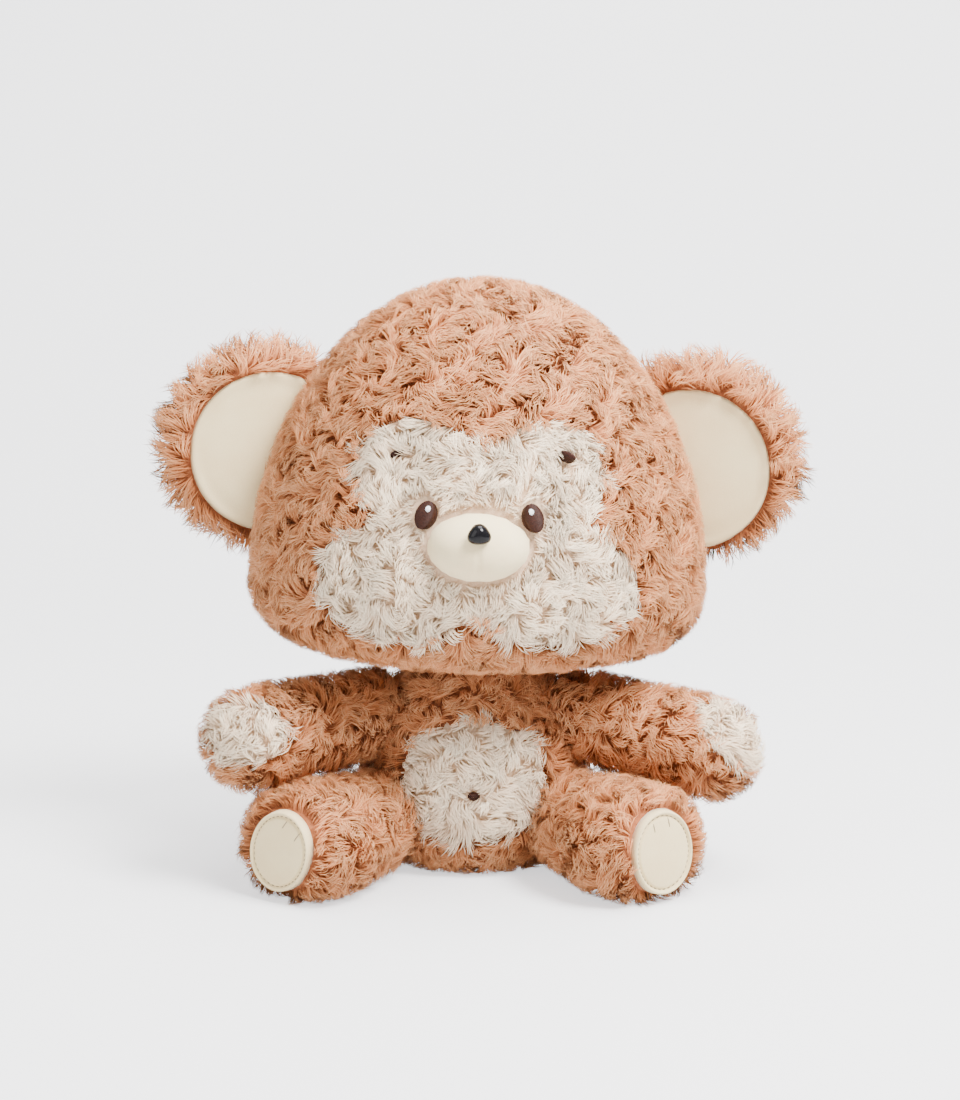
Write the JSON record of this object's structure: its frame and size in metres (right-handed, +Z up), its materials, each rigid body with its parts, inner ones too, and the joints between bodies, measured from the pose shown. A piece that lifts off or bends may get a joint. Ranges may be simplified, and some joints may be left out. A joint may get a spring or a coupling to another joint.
{
  "type": "stuffed monkey",
  "caption": "Sitting plush monkey with a wide fluffy head, round lined ears, a pale muzzle and posable arms and legs.",
  "frame": {"origin": "middle of the flat seat the monkey sits on, at the floor", "axes": "+Z up, the face looks along -Y, +X on the monkey's own left (the viewer's right when facing it)"},
  "size_m": [0.3555, 0.2222, 0.3209],
  "materials": {
    "brown_plush": "matte",
    "cream_plush": "matte",
    "lining": "matte",
    "nose_plastic": "gloss",
    "washer_plastic": "satin",
    "pellet_plastic": "satin",
    "filling": "matte",
    "pouch_cloth": "matte",
    "dark_thread": "satin",
    "white_thread": "satin",
    "brown_thread": "satin",
    "label_satin": "satin"
  },
  "bodies": {
    "torso": {"back_seam": "brown_thread", "care_label": "label_satin", "left_hip_seam": "brown_thread", "left_shoulder_seam": "brown_thread", "navel_stitch": "dark_thread", "neck_seam": "brown_thread", "pellet_fill": "pellet_plastic", "pellet_pouch": "pouch_cloth", "right_hip_seam": "brown_thread", "right_shoulder_seam": "brown_thread", "seat_panel": "brown_plush", "torso_cover": "brown_plush", "torso_stuffing": "filling", "tummy_patch": "cream_plush"},
    "head": {"face_panel": "cream_plush", "head_cover": "brown_plush", "head_stuffing": "filling", "left_brow_stitch": "dark_thread", "left_ear_seam": "brown_thread", "left_eye": "dark_thread", "left_eye_glint": "white_thread", "muzzle_cover": "lining", "muzzle_stuffing": "filling", "nose": "nose_plastic", "nose_washer": "washer_plastic", "right_brow_stitch": "dark_thread", "right_ear_seam": "brown_thread", "right_eye": "dark_thread", "right_eye_glint": "white_thread"},
    "left_arm": {"left_arm_cover": "brown_plush", "left_arm_stuffing": "filling", "left_hand_patch": "cream_plush"},
    "left_ear": {"left_ear_cover": "brown_plush", "left_ear_lining": "lining", "left_ear_wadding": "filling"},
    "left_leg": {"left_foot_pad": "lining", "left_leg_cover": "brown_plush", "left_leg_stuffing": "filling", "left_pad_stitching": "dark_thread", "left_toe_stitches": "dark_thread"},
    "left_hip": {"left_hip_stuffing": "filling"},
    "left_shoulder": {"left_shoulder_stuffing": "filling"},
    "neck": {"neck_stuffing": "filling"},
    "right_arm": {"right_arm_cover": "brown_plush", "right_arm_stuffing": "filling", "right_hand_patch": "cream_plush"},
    "right_ear": {"right_ear_cover": "brown_plush", "right_ear_lining": "lining", "right_ear_wadding": "filling"},
    "right_leg": {"right_foot_pad": "lining", "right_leg_cover": "brown_plush", "right_leg_stuffing": "filling", "right_pad_stitching": "dark_thread", "right_toe_stitches": "dark_thread"},
    "right_hip": {"right_hip_stuffing": "filling"},
    "right_shoulder": {"right_shoulder_stuffing": "filling"}
  },
  "joints": [
    {"name": "head_turn", "type": "hinge", "parent": "torso", "child": "neck", "pos_m": [0, 0, 0.104], "axis": [0, 0, 1], "range_deg": [-60, 60], "stiffness_Nm_per_rad": 0.05},
    {"name": "head_nod", "type": "hinge", "parent": "neck", "child": "head", "pos_m": [0, 0, 0.104], "axis": [-1, 0, 0], "range_deg": [-10, 12], "stiffness_Nm_per_rad": 0.05},
    {"name": "left_arm_swing", "type": "hinge", "parent": "torso", "child": "left_shoulder", "pos_m": [0.051, -0.004, 0.084], "axis": [0, 0, -1], "range_deg": [-35, 10], "stiffness_Nm_per_rad": 0.05},
    {"name": "left_arm_raise", "type": "hinge", "parent": "left_shoulder", "child": "left_arm", "pos_m": [0.051, -0.004, 0.084], "axis": [-0.3746, -0.9272, 0], "range_deg": [-3, 18], "stiffness_Nm_per_rad": 0.05},
    {"name": "left_leg_splay", "type": "hinge", "parent": "torso", "child": "left_hip", "pos_m": [0.05, -0.025, 0.029], "axis": [0, 0, 1], "range_deg": [-8, 18], "stiffness_Nm_per_rad": 0.05},
    {"name": "left_leg_lift", "type": "hinge", "parent": "left_hip", "child": "left_leg", "pos_m": [0.05, -0.025, 0.029], "axis": [-0.8192, -0.5736, 0], "range_deg": [0, 8], "stiffness_Nm_per_rad": 0.05},
    {"name": "left_ear_fold", "type": "hinge", "parent": "head", "child": "left_ear", "pos_m": [0.11519, 0.012, 0.22664], "axis": [-0.3223, 0, 0.9466], "range_deg": [-20, 14], "stiffness_Nm_per_rad": 0.01},
    {"name": "right_arm_swing", "type": "hinge", "parent": "torso", "child": "right_shoulder", "pos_m": [-0.051, -0.004, 0.084], "axis": [0, 0, 1], "range_deg": [-40, 8], "stiffness_Nm_per_rad": 0.05},
    {"name": "right_arm_raise", "type": "hinge", "parent": "right_shoulder", "child": "right_arm", "pos_m": [-0.051, -0.004, 0.084], "axis": [-0.6157, 0.788, 0], "range_deg": [-3, 12], "stiffness_Nm_per_rad": 0.05},
    {"name": "right_leg_splay", "type": "hinge", "parent": "torso", "child": "right_hip", "pos_m": [-0.05, -0.025, 0.029], "axis": [0, 0, -1], "range_deg": [-8, 18], "stiffness_Nm_per_rad": 0.05},
    {"name": "right_leg_lift", "type": "hinge", "parent": "right_hip", "child": "right_leg", "pos_m": [-0.05, -0.025, 0.029], "axis": [-0.7986, 0.6018, 0], "range_deg": [0, 8], "stiffness_Nm_per_rad": 0.05},
    {"name": "right_ear_fold", "type": "hinge", "parent": "head", "child": "right_ear", "pos_m": [-0.10771, 0.012, 0.23325], "axis": [-0.3778, 0, -0.9259], "range_deg": [-20, 14], "stiffness_Nm_per_rad": 0.01}
  ]
}
